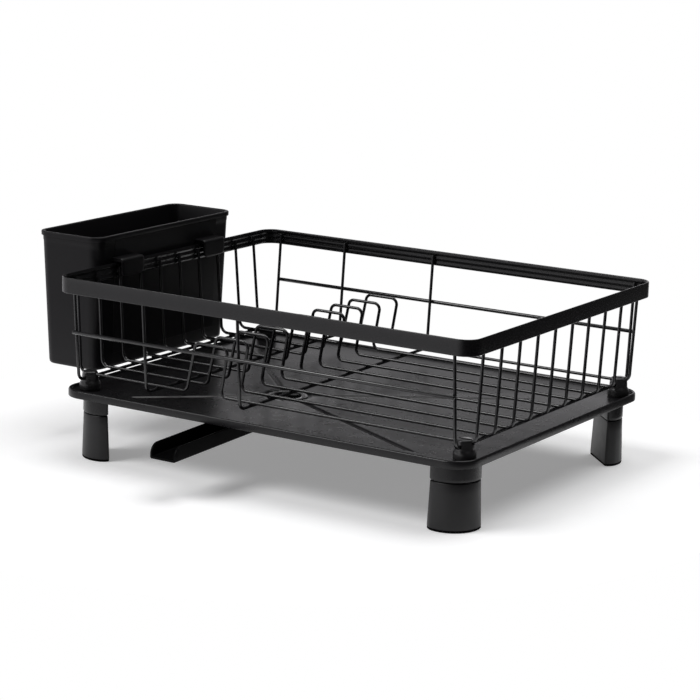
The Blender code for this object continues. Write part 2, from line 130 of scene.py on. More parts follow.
CHANNEL_HALF = 3.6 * MM
CHANNEL_DEPTH = 1.4 * MM
CHANNEL_END = 3 * MM        # length over which a channel runs out
CHANNEL_SHARES = (0.15, 0.35, 0.55, 0.7, 0.85, 1, 1.2)   # mesh lines either side of its middle

# legs
LEG_X = (-193.0 * MM, 191.8 * MM)     # centres of the flat inner faces
LEG_Y = 139.2 * MM
LEG_WIDTH = 45.8 * MM
LEG_END = 6.3 * MM
LEG_BULGE = 15 * MM
LEG_CORNER = 2.6 * MM
LEG_STEPS = 32              # along the curved side
LEG_SEAM = 44.5 * MM
SOCKET_WALL = 2.6 * MM
SPIGOT_TOP = 58 * MM
CORNERS = {"front_left": (-1, -1), "front_right": (1, -1), "back_left": (-1, 1), "back_right": (1, 1)}


# ---- placing pieces -----------------------------------------------------------
def linked(name, data):
    """New object with its data, in the scene."""
    obj = bpy.data.objects.new(name, data)
    bpy.context.scene.collection.objects.link(obj)
    return obj


def mesh_from(name, form):
    """Mesh of a bmesh, which is used up."""
    mesh = bpy.data.meshes.new(name)
    form.to_mesh(mesh)
    form.free()
    return mesh


def piece(name, form, node, finish, sharp=38, second=None):
    """Turn a bmesh into a piece that stands for a CAD node and rides on its body."""
    bmesh.ops.recalc_face_normals(form, faces=form.faces)
    piece_from_mesh(name, mesh_from(name, form), node, finish, sharp, second)


def piece_from_mesh(name, mesh, node, finish, sharp=38, second=None):
    """The same for a mesh. Edges sharper than the angle in degrees stay sharp."""
    mesh.materials.clear()
    mesh.materials.append(finish)
    if second:
        mesh.materials.append(second)
    mesh.shade_smooth()
    mesh.set_sharp_from_angle(angle=math.radians(sharp))
    obj = linked(name, mesh)
    obj.location = CENTRE
    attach(obj, frame["nodes"][node]["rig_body"])
    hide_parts(node)


# ---- building blocks ----------------------------------------------------------
def unit(angle):
    """Level direction at an angle in radians from +X."""
    return Vector((math.cos(angle), math.sin(angle)))


def skin(form, loops, ring=False):
    """Closed surface over point loops, joined end to end as a ring or else capped."""
    rows = [[form.verts.new(point) for point in loop] for loop in loops]
    pairs = list(zip(rows, rows[1:]))
    if ring:
        pairs.append((rows[-1], rows[0]))
    else:
        form.faces.new(rows[0])
        form.faces.new(rows[-1])
    for lower, upper in pairs:
        for i in range(len(lower)):
            j = (i + 1) % len(lower)
            form.faces.new((lower[i], lower[j], upper[j], upper[i]))


def arc(centre, radius, start, end, steps):
    """Points of an arc between two angles in degrees, both ends included."""
    turns = [math.radians(start + (end - start) * step / (steps - 1)) for step in range(steps)]
    return [(centre[0] + radius * math.cos(a), centre[1] + radius * math.sin(a)) for a in turns]


def circle(radius, z, centre=(0, 0), count=72):
    """Level circle of points."""
    turns = [math.tau * step / count for step in range(count)]
    return [(centre[0] + radius * math.cos(a), centre[1] + radius * math.sin(a), z) for a in turns]


def rounded_rect(low, high, radius, z, steps=16):
    """Level rounded rectangle of points."""
    points = []
    corners = ((high.x, high.y), (low.x, high.y), (low.x, low.y), (high.x, low.y))
    for corner, (x, y) in enumerate(corners):
        centre_x = x - math.copysign(radius, x - low.x - radius)
        centre_y = y - math.copysign(radius, y - low.y - radius)
        points += arc((centre_x, centre_y), radius, 90 * corner, 90 * corner + 90, steps)
    return [(x, y, z) for x, y in points]


def filleted(corners, radius, steps=10):
    """Path through the corners with every inner corner turned on an arc."""
    corners = [Vector(corner) for corner in corners]
    path = [corners[0]]
    for before, corner, after in zip(corners, corners[1:], corners[2:]):
        back = (before - corner).normalized()
        ahead = (after - corner).normalized()
        half = back.angle(ahead) / 2
        middle = corner + (back + ahead).normalized() * (radius / math.sin(half))
        start = corner + back * (radius / math.tan(half)) - middle
        end = corner + ahead * (radius / math.tan(half)) - middle
        path += [middle + start.slerp(end, step / (steps - 1)) * radius for step in range(steps)]
    path.append(corners[-1])
    return path


CROWN = ((0.0, 0.55), (0.12, 0.86), (0.38, 0.98))   # (distance in, radius) of an end, in radii


def tube(form, path, radius, sides=16):
    """Round wire along a path, with its sheared ends slightly rounded."""
    tangents = []
    for i, point in enumerate(path):
        ahead = (path[i + 1] - point).normalized() if i < len(path) - 1 else None
        behind = (point - path[i - 1]).normalized() if i else None
        both = [direction for direction in (ahead, behind) if direction is not None]
        tangents.append(sum(both, Vector()).normalized())
    side = tangents[0].orthogonal().normalized()
    stations = []
    for point, tangent in zip(path, tangents):
        side = (side - tangent * side.dot(tangent)).normalized()
        stations.append((point, side, tangent.cross(side), radius))
    start, u, v, _ = stations[0]
    crowned = [(start + tangents[0] * radius * a, u, v, radius * r) for a, r in CROWN]
    crowned += stations[1:-1]
    end, u, v, _ = stations[-1]
    crowned += [(end - tangents[-1] * radius * a, u, v, radius * r) for a, r in reversed(CROWN)]
    turns = [math.tau * step / sides for step in range(sides)]
    loops = []
    for point, u, v, size in crowned:
        loops.append([point + (u * math.cos(a) + v * math.sin(a)) * size for a in turns])
    skin(form, loops)


def nugget(form, centre, size, seed):
    """Small uneven blob of weld metal."""
    shift = Vector((seed * 3.1, seed * 1.7, seed))
    for vert in bmesh.ops.create_icosphere(form, subdivisions=2, radius=1)["verts"]:
        swell = 1 + 0.22 * noise.noise(vert.co * 1.3 + shift)
        vert.co = Vector((vert.co.x * size[0], vert.co.y * size[1], vert.co.z * size[2])) * swell
        vert.co += Vector(centre)


def turned(form, profile, centre, ring=False, count=72):
    """Turned shape from (radius, z) points."""
    skin(form, [circle(r, z, centre, count) for r, z in profile], ring)


def boolean(base, tools):
    """Mesh of base after exact Booleans with (operation, bmesh) tools."""
    def as_object(form, name):
        bmesh.ops.recalc_face_normals(form, faces=form.faces)
        return linked(name, mesh_from(name, form))

    target = as_object(base, "boolean_base")
    cutters = []
    for operation, form in tools:
        cutter = as_object(form, "boolean_tool")
        modifier = target.modifiers.new(operation, "BOOLEAN")
        modifier.operation = operation
        modifier.solver = "EXACT"
        modifier.object = cutter
        cutters.append(cutter)
    bpy.context.view_layer.update()
    shaped = target.evaluated_get(bpy.context.evaluated_depsgraph_get())
    result = bpy.data.meshes.new_from_object(shaped)
    for obj in [target, *cutters]:
        bpy.data.objects.remove(obj)
    return result


def block(low, high):
    """bmesh of a plain box, used only as a cutter."""
    outline = ((low[1], low[2]), (high[1], low[2]), (high[1], high[2]), (low[1], high[2]))
    form = bmesh.new()
    skin(form, [[(x, y, z) for y, z in outline] for x in (low[0], high[0])])
    return form


def smooth_step(value):
    """0 below 0, 1 above 1 and a smooth rise between."""
    value = min(1.0, max(0.0, value))
    return value * value * (3 - 2 * value)


# ---- materials ----------------------------------------------------------------
EDGE_WEAR_AND_HIGHLIGHT_GAIN = 3.2          # brightness of a lightened edge, partly wear and partly painted highlight, times the light colour
MOTTLE = 55         # scale of the colour pattern
SHEEN = 120         # scale of the roughness pattern


def surface(name, dark, light, roughness, spread, grain, depth, specular=0.5, edge_wear_and_highlight=0.0):
    """Principled material with grain bump, mottled colour and roughness, and sharp edges
    lightened, partly as rubbed wear and partly as painted highlight.

    Roughness varies by spread on both sides. Grain is the scale of the bump and depth its
    height in metres. The last argument is how much the sharp edges lighten, partly as wear
    and partly as painted highlight.
    """
    mat = bpy.data.materials.new(name)
    mat.use_nodes = True
    nodes = mat.node_tree.nodes
    links = mat.node_tree.links
    shader = nodes["Principled BSDF"]
    shader.inputs["Specular IOR Level"].default_value = specular
    where = nodes.new("ShaderNodeTexCoord").outputs["Object"]

    def pattern(scale, detail):
        node = nodes.new("ShaderNodeTexNoise")
        node.inputs["Scale"].default_value = scale
        node.inputs["Detail"].default_value = detail
        node.inputs["Roughness"].default_value = 0.6
        links.new(where, node.inputs["Vector"])
        return node.outputs["Fac"]

    def ramp(source, low, high, start, end):
        node = nodes.new("ShaderNodeValToRGB")
        node.color_ramp.elements[0].position = start
        node.color_ramp.elements[1].position = end
        node.color_ramp.elements[0].color = (*low, 1)
        node.color_ramp.elements[1].color = (*high, 1)
        links.new(source, node.inputs["Fac"])
        return node.outputs["Color"]

    def ranged(source, low, high, start=0.3, end=0.7):
        node = nodes.new("ShaderNodeMapRange")
        node.inputs["From Min"].default_value = start
        node.inputs["From Max"].default_value = end
        node.inputs["To Min"].default_value = low
        node.inputs["To Max"].default_value = high
        links.new(source, node.inputs["Value"])
        return node.outputs["Result"]

    colour = ramp(pattern(MOTTLE, 3), dark, light, 0.35, 0.68)
    # Sharp edges lighten by pointiness: partly rubbed wear, partly a painted highlight along them.
    if edge_wear_and_highlight:
        edge = nodes.new("ShaderNodeNewGeometry").outputs["Pointiness"]
        mix = nodes.new("ShaderNodeMix")
        mix.data_type = "RGBA"
        links.new(ranged(edge, 0.0, edge_wear_and_highlight, 0.52, 0.62), mix.inputs["Factor"])
        links.new(colour, mix.inputs[6])
        mix.inputs[7].default_value = (*[EDGE_WEAR_AND_HIGHLIGHT_GAIN * channel for channel in light], 1)
        colour = mix.outputs[2]
    links.new(colour, shader.inputs["Base Color"])
    varied = ranged(pattern(SHEEN, 4), roughness - spread, roughness + spread)
    links.new(varied, shader.inputs["Roughness"])

    fine, coarse = nodes.new("ShaderNodeBump"), nodes.new("ShaderNodeBump")
    for bump, scale, height in ((fine, grain, depth), (coarse, grain / 9, depth * 2.5)):
        bump.inputs["Strength"].default_value = 1.0
        bump.inputs["Distance"].default_value = height
        links.new(pattern(scale, 2), bump.inputs["Height"])
    links.new(fine.outputs["Normal"], coarse.inputs["Normal"])
    links.new(coarse.outputs["Normal"], shader.inputs["Normal"])
    return mat


COATED = surface(
    "black_powder_coat", (0.0034, 0.0033, 0.0038), (0.0052, 0.0050, 0.0058),
    roughness=0.25, spread=0.02, grain=800, depth=1.4e-6, specular=0.52, edge_wear_and_highlight=0.1)
WIRE_COAT = surface(
    "wire_powder_coat", (0.0036, 0.0035, 0.0041), (0.0054, 0.0052, 0.0060),
    roughness=0.21, spread=0.02, grain=700, depth=1.2e-6, specular=0.62, edge_wear_and_highlight=0.1)
POLISHED = surface(
    "polished_pressing", (0.0060, 0.0057, 0.0064), (0.0080, 0.0076, 0.0086),
    roughness=0.10, spread=0.01, grain=900, depth=1.2e-6, specular=1.0)
DRAIN_GLOSS = surface(
    "glossy_drain_black", (0.0020, 0.0020, 0.0021), (0.0036, 0.0036, 0.0038),
    roughness=0.10, spread=0.03, grain=700, depth=6e-6, specular=0.9)
TRAY_BLACK = surface(
    "tray_moulded_black", (0.0066, 0.0062, 0.0070), (0.0076, 0.0072, 0.0081),
    roughness=0.28, spread=0.012, grain=1100, depth=1e-6, specular=0.30, edge_wear_and_highlight=0.1)
HOLDER_BLACK = surface(
    "holder_moulded_black", (0.0048, 0.0043, 0.0053), (0.0058, 0.0053, 0.0064),
    roughness=0.42, spread=0.02, grain=1900, depth=6e-6, specular=0.22, edge_wear_and_highlight=0.1)
LEG_BLACK = surface(
    "leg_moulded_black", (0.0060, 0.0056, 0.0063), (0.0078, 0.0073, 0.0082),
    roughness=0.40, spread=0.03, grain=1700, depth=1.2e-5, specular=0.34, edge_wear_and_highlight=0.1)
# Black moulding, darkened below the plastic's own colour to paint the shade it sits in under the tray.
# Its sharp edges are lightened strongly to paint thin highlight lines along them.
SPOUT_BLACK_PAINTED_SHADE = surface(
    "spout_black_painted_shade", (0.0010, 0.0010, 0.0011), (0.0017, 0.0017, 0.0018),
    roughness=0.36, spread=0.04, grain=1900, depth=8e-6, specular=0.04, edge_wear_and_highlight=0.3)
RUBBER = surface(
    "soft_black_rubber", (0.0140, 0.0137, 0.0143), (0.0180, 0.0177, 0.0184),
    roughness=0.30, spread=0.03, grain=900, depth=3e-6, specular=0.60)
# Black rubber pads, darkened beyond their own black to paint the contact shadow along the bottom of
# each leg.
PAD_BLACK_PAINTED_SHADOW = surface(
    "black_rubber_painted_contact_shadow", (0.0010, 0.0010, 0.0010), (0.0018, 0.0018, 0.0018),
    roughness=0.70, spread=0.05, grain=900, depth=1.2e-5, specular=0.04)


# ---- rim ----------------------------------------------------------------------
def rim_section():
    """(inset, z) outline of the rim: flat outside, rounded edges, rolled beads inside."""
    bottom, top = RIM_LOW.z, RIM_HIGH.z
    outside = arc((RIM_EDGE, bottom + RIM_EDGE), RIM_EDGE, 270, 180, RIM_ROUND)
    outside += arc((RIM_EDGE, top - RIM_EDGE), RIM_EDGE, 180, 90, RIM_ROUND)
    pitch = (top - bottom) / RIM_BEADS
    rise = RIM_WALL - RIM_PLATE
    beads = []
    for bead in range(RIM_BEADS):
        crown = top - bead * pitch
        for step in range(BEAD_STEPS):
            share = (step + 0.5) / BEAD_STEPS
            height = rise * math.sin(math.pi * share) ** 0.6
            beads.append((RIM_PLATE + height, crown - pitch * share))
    return outside + beads


def rim_loop(inset, z):
    """Outline of the rim at a height, moved in by inset."""
    shrink = Vector((inset, inset, 0))
    return rounded_rect(RIM_LOW + shrink, RIM_HIGH - shrink, RIM_CORNER - inset, z, 18)


def make_rim():
    """Rim band with two wavy seam lines down the inside of its left end."""
    form = bmesh.new()
    section = rim_section()
    skin(form, [rim_loop(inset, z) for inset, z in section], ring=True)
    height = RIM_HIGH.z - RIM_LOW.z
    for shift in SEAM_LINES:
        path = []
        for inset, z in section[2 * RIM_ROUND:]:
            share = (RIM_HIGH.z - z) / height
            y = SEAM_Y + shift + SEAM_SWING * math.sin(math.tau * share * 1.2 + 0.6)
            path.append(Vector((RIM_LOW.x + inset - SEAM_SUNK, y, z)))
        tube(form, path, SEAM_BEAD, 8)
    piece("rim_band_surface", form, "rim_band", COATED)


# ---- wires --------------------------------------------------------------------
def long_wire_path(node):
    """Up at the left, along the floor with one leaning hump, up at the right."""
    low, high = cad(node)
    y = high.y - WIRE
    floor = low.z + WIRE
    top_x = RIM_HIGH.x - RIM_WALL - GAP - WIRE
    top_z = RIM_HIGH.z - WIRE_END
    left_end, right_end = (-LONG_FLOOR_X, y, floor), (LONG_FLOOR_X, y, floor)
    left_foot, right_foot = (HUMP_FOOT[0], y, floor), (HUMP_FOOT[1], y, floor)
    crest = [(x, y, HUMP_TOP) for x in HUMP_CREST]
    left = filleted([(-top_x, low.y + WIRE, top_z), left_end, left_foot], WIRE_BEND)
    hump = filleted([left_end, left_foot, *crest, right_foot, right_end], HUMP_BEND)
    right = filleted([right_foot, right_end, (top_x, y, top_z)], WIRE_BEND)
    return left[:-1] + hump[1:-1] + right[1:]


def cross_wire_path(node):
    """Up at the front, along under the long wires, up at the back."""
    low, high = cad(node)
    x = (low.x + high.x) / 2
    floor = low.z + WIRE
    top_y = RIM_HIGH.y - RIM_WALL - GAP - WIRE
    top_z = RIM_HIGH.z - WIRE_END
    front = [(x, -top_y, top_z), (x, -CROSS_FLOOR_Y, floor)]
    back = [(x, CROSS_FLOOR_Y, floor), (x, top_y, top_z)]
    return filleted(front + back, CROSS_BEND)


# half sizes of the weld beads
FLOOR_WELD = (1.7 * MM, 1.7 * MM, 0.8 * MM)
RAIL_WELD = (1.7 * MM, 0.8 * MM, 1.5 * MM)
RIM_WELD_X = (0.9 * MM, 1.3 * MM, 2.1 * MM)
RIM_WELD_Y = (1.3 * MM, 0.9 * MM, 2.1 * MM)
WELD_OUT = 1.0 * MM         # from the end of a wire towards the rim
WELD_ASIDE = -1.2 * MM
WELD_DOWN = -3.4 * MM


def make_wires():
    """Wires and rails, with a weld bead wherever a wire meets the rim or another wire."""
    cross_x = [sum(box.x for box in cad(node)) / 2 for node in CROSS_NODES]
    seed = 0
    for node in LONG_NODES:
        form = bmesh.new()
        path = long_wire_path(node)
        tube(form, path, WIRE)
        low, high = cad(node)
        for x in cross_x:
            seed += 1
            nugget(form, (x, high.y - WIRE, low.z), FLOOR_WELD, seed)
        for end, side in ((path[0], -1), (path[-1], 1)):
            seed += 1
            nugget(form, end + Vector((side * WELD_OUT, WELD_ASIDE, WELD_DOWN)), RIM_WELD_X, seed)
        piece(node + "_surface", form, node, WIRE_COAT)
    rail_low, rail_high = cad("back_rail")
    rail_z = (rail_low.z + rail_high.z) / 2
    for node in CROSS_NODES:
        form = bmesh.new()
        path = cross_wire_path(node)
        tube(form, path, WIRE)
        for end, side in ((path[0], -1), (path[-1], 1)):
            seed += 2
            nugget(form, end + Vector((WELD_ASIDE, side * WELD_OUT, WELD_DOWN)), RIM_WELD_Y, seed - 1)
            nugget(form, (path[0].x, side * rail_low.y, rail_z), RAIL_WELD, seed)
        piece(node + "_surface", form, node, WIRE_COAT)
    for node in ("front_rail", "back_rail"):
        low, high = cad(node)
        middle = (low + high) / 2
        form = bmesh.new()
        tube(form, [Vector((x, middle.y, middle.z)) for x in (low.x, middle.x, high.x)], RAIL)
        piece(node + "_surface", form, node, WIRE_COAT)


# ---- basket feet --------------------------------------------------------------
FOOT_ROWS = (   # height above the base in mm, half width in mm, squareness
    (0.0, 9.9, 2.0), (0.5, 10.25, 2.0), (1.5, 10.3, 2.0), (4.6, 10.3, 2.0), (5.8, 10.15, 2.0),
    (6.8, 9.75, 2.0), (7.6, 9.25, 2.05), (8.3, 8.75, 2.2), (9.0, 8.3, 2.5), (9.8, 8.0, 3.0),
    (10.8, 7.8, 3.6), (12.0, 7.65, 4.0), (14.0, 7.45, 4.2), (15.8, 7.2, 4.2), (16.7, 6.95, 4.1),
    (17.2, 6.65, 4.0), (17.55, 6.25, 3.8), (17.7, 5.8, 3.6),
)
FOOT_REACH = 20 * MM        # half length of the cutters for the wires' slots
FOOT_SLACK = 0.2 * MM       # round a wire in its slot


def foot_loop(middle, z, half, power, count=56):
    """Rounded square set cornerwise: a circle at power 2, squarer above it."""
    points = []
    for step in range(count):
        angle = math.tau * step / count
        c, s = math.cos(angle), math.sin(angle)
        radius = half / (abs(c) ** power + abs(s) ** power) ** (1 / power)
        turn = angle + math.pi / 4
        points.append((middle.x + radius * math.cos(turn), middle.y + radius * math.sin(turn), z))
    return points


def make_feet():
    """Soft feet: a drum and a block that grips a cross wire and, above it, a long wire."""
    long_z = cad(LONG_NODES[0])[0].z + WIRE
    cross_z = cad(CROSS_NODES[0])[0].z + WIRE
    slot = WIRE + FOOT_SLACK
    for corner in CORNERS:
        node = "basket_foot_" + corner
        low, high = cad(node)
        middle = (low + high) / 2
        form = bmesh.new()
        rows = [(low.z + z * MM, half * MM, power) for z, half, power in FOOT_ROWS]
        skin(form, [foot_loop(middle, *row) for row in rows])
        along_y = block((middle.x - slot, middle.y - FOOT_REACH, cross_z - slot),
                        (middle.x + slot, middle.y + FOOT_REACH, cross_z + slot))
        along_x = block((middle.x - FOOT_REACH, middle.y - slot, long_z - slot),
                        (middle.x + FOOT_REACH, middle.y + slot, high.z + slot))
        mesh = boolean(form, [("DIFFERENCE", along_y), ("DIFFERENCE", along_x)])
        piece_from_mesh(node + "_surface", mesh, node, RUBBER, 42)


# ---- tray ---------------------------------------------------------------------
def tray_edge():
    """(point, outward normal) pairs round the tray's outer edge, anticlockwise."""
    low, high = TRAY_LOW, TRAY_HIGH
    inner_low = Vector((low.x + TRAY_CORNER, low.y + TRAY_CORNER))
    inner_high = Vector((high.x - TRAY_CORNER, high.y - TRAY_CORNER))
    back_left, front_right = Vector((inner_low.x, inner_high.y)), Vector((inner_high.x, inner_low.y))
    centres = (inner_high, back_left, inner_low, front_right)
    edge = []
    for corner, centre in enumerate(centres):
        after = centres[(corner + 1) % 4]
        for step in range(TRAY_TURN + 1):
            normal = unit(math.radians(90 * (corner + step / TRAY_TURN)))
            edge.append((centre + normal * TRAY_CORNER, normal))
        side_normal = unit(math.pi / 2 * (corner + 1))
        spans = round((after - centre).length / TRAY_SPAN)
        for step in range(1, spans):
            edge.append((centre.lerp(after, step / spans) + side_normal * TRAY_CORNER, side_normal))
    return edge


def channel_hit(direction, offset):
    """Point on the inner edge of the ledge that a line along a channel meets, and its normal."""
    across = Vector((-direction.y, direction.x))
    start = DRAIN.to_2d() + across * offset
    best = None
    for axis, limit in ((0, TRAY_LOW.x + TRAY_LEDGE), (0, TRAY_HIGH.x - TRAY_LEDGE),
                        (1, TRAY_LOW.y + TRAY_LEDGE), (1, TRAY_HIGH.y - TRAY_LEDGE)):
        if abs(direction[axis]) < 1e-6:
            continue
        travel = (limit - start[axis]) / direction[axis]
        if travel > 0 and (best is None or travel < best[0]):
            normal = Vector((0, 0))
            normal[axis] = math.copysign(1, direction[axis])
            best = (travel, normal)
    return start + direction * best[0], best[1]


def tray_columns():
    """Columns of the tray's mesh: edge point, normal, drain point and channel offset."""
    columns = []
    one_side = [CHANNEL_HALF * share for share in CHANNEL_SHARES]
    offsets = [-offset for offset in reversed(one_side)] + [0] + one_side
    centre = DRAIN.to_2d()
    limits = []
    for number, degrees in enumerate(CHANNEL_ANGLES):
        direction = unit(math.radians(degrees))
        across = Vector((-direction.y, direction.x))
        outer = []
        for offset in offsets:
            point, normal = channel_hit(direction, offset)
            along = math.sqrt(DRAIN_RADIUS ** 2 - offset ** 2)
            inner = direction * along + across * offset
            outer.append(angle_of(point - centre))
            columns.append((outer[-1], point + normal * TRAY_LEDGE, normal, inner, number, offset))
        spread = math.asin(offsets[-1] / DRAIN_RADIUS)
        limits.append((outer[0], outer[-1], math.radians(degrees), spread))
    for point, normal in tray_edge():
        turn = angle_of(point - normal * TRAY_LEDGE - centre)
        inner_turn = between_channels(turn, limits)
        if inner_turn is None:
            continue
        columns.append((turn, point, normal, unit(inner_turn) * DRAIN_RADIUS, None, 0))
    columns.sort(key=lambda column: column[0])
    return columns


def angle_of(vector):
    """Angle from +X in radians, 0 or more."""
    return math.atan2(vector.y, vector.x) % math.tau


def between_channels(turn, limits):
    """Angle on the drain circle for an edge angle that lies between two channels."""
    margin = math.radians(0.6)
    for current, following in zip(limits, limits[1:] + limits[:1]):
        start, end = current[1], following[0]
        span = (end - start) % math.tau
        past = (turn - start) % math.tau
        if margin < past < span - margin:
            inner_start = current[2] + current[3]
            inner_span = (following[2] - following[3] - inner_start) % math.tau
            return inner_start + inner_span * past / span
    return None


def channel_drop(offset, run, length, margin):
    """Depth of a channel, which has a low ridge along its middle, across it and along it."""
    if abs(offset) >= CHANNEL_HALF:
        return 0.0
    groove = smooth_step(1.8 - 1.8 * abs(offset) / CHANNEL_HALF)
    ridge = 0.45 * smooth_step(1 - 3 * abs(offset) / CHANNEL_HALF)
    end = smooth_step((length - margin - run) / CHANNEL_END)
    return CHANNEL_DEPTH * (groove - ridge) * end


def make_tray():
    """Tray with a raised lip, a floor with four channels that falls to the drain, and sockets."""
    columns = tray_columns()
    centre = DRAIN.to_2d()

    def edge_loop(inset, z):
        return [(*(point - normal * inset * MM), z) for _, point, normal, *_ in columns]

    def drain_loop(radius, z):
        return [(*(centre + inner.normalized() * radius), z) for _, _, _, inner, *_ in columns]

    lip = (     # inset in mm and height of the side, crest and inner fillet, from the lower edge up
        (0.5, TRAY_SKIRT), (0.1, TRAY_SKIRT + 0.2 * MM), (0.0, TRAY_SKIRT + 0.6 * MM),
        (0.0, TRAY_CREST - 1.9 * MM), (0.12, TRAY_CREST - 1.2 * MM), (0.45, TRAY_CREST - 0.6 * MM),
        (0.95, TRAY_CREST - 0.2 * MM), (1.55, TRAY_CREST), (2.1, TRAY_CREST - 0.1 * MM),
        (2.5, TRAY_CREST - 0.4 * MM), (2.75, TRAY_CREST - 0.9 * MM), (2.85, TRAY_CREST - 1.7 * MM),
        (2.95, TRAY_CREST - 2.4 * MM), (3.2, TRAY_FLOOR + 0.15 * MM), (3.8, TRAY_FLOOR),
        (7.5, TRAY_FLOOR), (10.0, TRAY_FLOOR),
    )
    loops = [edge_loop(inset, z) for inset, z in lip]
    for ring in range(1, TRAY_RINGS + 1):
        share = 1 - ring / TRAY_RINGS
        loop = []
        for _, point, normal, inner, number, offset in columns:
            outer = point - normal * TRAY_LEDGE
            inside = centre + inner
            place = inside.lerp(outer, share)
            z = DRAIN_EDGE_Z + (TRAY_FLOOR - DRAIN_EDGE_Z) * share
            if number is not None:
                length = (outer - inside).length
                z -= channel_drop(offset, length * share, length, CHANNEL_MARGINS[number])
            loop.append((place.x, place.y, z))
        loops.append(loop)

    seat = DRAIN_SEAT_Z
    loops += [
        drain_loop(23.7 * MM, DRAIN_EDGE_Z - 0.2 * MM), drain_loop(23.3 * MM, DRAIN_EDGE_Z - 0.8 * MM),
        drain_loop(22.9 * MM, seat + 0.6 * MM), drain_loop(22.4 * MM, seat + 0.15 * MM),
        drain_loop(21.8 * MM, seat), drain_loop(DRAIN_BORE + 0.3 * MM, seat),
        drain_loop(DRAIN_BORE, seat - 0.3 * MM), drain_loop(DRAIN_BORE, seat - TRAY_WALL + 0.3 * MM),
        drain_loop(DRAIN_BORE + 0.3 * MM, seat - TRAY_WALL),
        drain_loop(DRAIN_RADIUS, seat - TRAY_WALL),
    ]
    under = TRAY_FLOOR - TRAY_WALL
    loops += [
        edge_loop(10, under), edge_loop(3.2, under), edge_loop(2.4, under - 0.3 * MM),
        edge_loop(2.0, under - 1.0 * MM), edge_loop(2.0, TRAY_SKIRT + 0.4 * MM),
        edge_loop(1.6, TRAY_SKIRT),
    ]
    form = bmesh.new()
    skin(form, loops, ring=True)
    mouth = LEG_SEAM + GAP
    socket = (
        (SOCKET_WALL, TRAY_FLOOR - 6 * MM), (SOCKET_WALL, mouth + 0.3 * MM),
        (SOCKET_WALL - 0.3 * MM, mouth), (0.7 * MM, mouth), (0.2 * MM, mouth + 0.3 * MM),
        (0.0, mouth + 0.8 * MM), (0.0, LEG_SEAM + 3 * MM), (0.0, TRAY_SKIRT),
        (0.0, TRAY_FLOOR - 1 * MM),
    )
    for corner in CORNERS:
        skin(form, [leg_loop(corner, inset, z) for inset, z in socket])
    polish_pressings(form)
    piece("drip_tray_surface", form, "drip_tray", TRAY_BLACK, 40, POLISHED)


def polish_pressings(form):
    """Give the channels and the wall of the drain recess the second material."""
    centre = DRAIN.to_2d()
    for face in form.faces:
        middle = face.calc_center_median()
        if middle.z < DRAIN_SEAT_Z - 0.1 * MM or middle.z > TRAY_FLOOR - 0.1 * MM:
            continue
        away = middle.to_2d() - centre
        if away.length < DRAIN_RADIUS:
            face.material_index = 1
            continue
        for degrees in CHANNEL_ANGLES:
            direction = unit(math.radians(degrees))
            across = abs(away.x * -direction.y + away.y * direction.x)
            if away.dot(direction) > 0 and across < CHANNEL_HALF:
                face.material_index = 1


# ---- legs ---------------------------------------------------------------------
def leg_outline(inset):
    """D-shaped outline, x along the flat inner face and y away from it."""
    radius = ((LEG_WIDTH / 2) ** 2 + LEG_BULGE ** 2) / (2 * LEG_BULGE)
    centre_y = LEG_END + LEG_BULGE - radius
    half = LEG_WIDTH / 2 - inset
    bow = radius - inset
    reach = math.asin(half / bow)
    points = arc((-half + LEG_CORNER, inset + LEG_CORNER), LEG_CORNER, 180, 270, 6)
    points += arc((half - LEG_CORNER, inset + LEG_CORNER), LEG_CORNER, 270, 360, 6)
    points.append((half, LEG_END * 0.75))
    for step in range(1, LEG_STEPS):
        angle = reach * (1 - 2 * step / LEG_STEPS)
        points.append((bow * math.sin(angle), centre_y + bow * math.cos(angle)))
    points.append((-half, LEG_END * 0.75))
    return points


def leg_loop(corner, inset, z):
    """Leg outline at a corner of the tray, its curved side facing outward."""
    sx, sy = CORNERS[corner]
    along = Vector((-sy, sx)).normalized()
    outward = Vector((sx, sy)).normalized()
    middle = Vector((LEG_X[0] if sx < 0 else LEG_X[1], sy * LEG_Y))
    points = [middle + along * x + outward * y for x, y in leg_outline(inset)]
    return [(point.x, point.y, z) for point in points]


def make_legs():
    """Legs that flare towards the foot, each with a spigot in its socket and a pad below."""
    spigot = SOCKET_WALL + GAP
    for corner in CORNERS:
        node = "leg_" + corner
        low = cad(node)[0].z
        rows = (
            (-0.3 * MM, low), (-0.75 * MM, low + 0.15 * MM), (-1.0 * MM, low + 0.5 * MM),
            (-1.05 * MM, low + 0.9 * MM), (-0.9 * MM, 7 * MM), (-0.45 * MM, 20 * MM),
            (0.05 * MM, 34 * MM), (0.3 * MM, LEG_SEAM - 1.5 * MM), (0.45 * MM, LEG_SEAM - 0.95 * MM),
            (1.1 * MM, LEG_SEAM - 0.45 * MM), (1.6 * MM, LEG_SEAM - GAP), (spigot, LEG_SEAM - GAP),
            (spigot, SPIGOT_TOP - 0.6 * MM), (spigot + 0.5 * MM, SPIGOT_TOP),
        )
        form = bmesh.new()
        skin(form, [leg_loop(corner, inset, z) for inset, z in rows])
        piece(node + "_surface", form, node, LEG_BLACK)
        pad = "foot_pad_" + corner
        top = cad(pad)[1].z
        form = bmesh.new()
        rows = (
            (-0.3 * MM, 0), (-0.75 * MM, 0.2 * MM), (-0.95 * MM, 0.6 * MM),
            (-0.95 * MM, top - 0.1 * MM), (-0.8 * MM, top),
        )
        skin(form, [leg_loop(corner, inset, z) for inset, z in rows])
        piece(pad + "_surface", form, pad, PAD_BLACK_PAINTED_SHADOW)


# ---- drain and spout ----------------------------------------------------------
RING_BORE = 13.5 * MM
SEAL_BORE = 17.3 * MM
SEAL_RADIUS = 22 * MM
SEAL_EDGE = 0.25 * MM


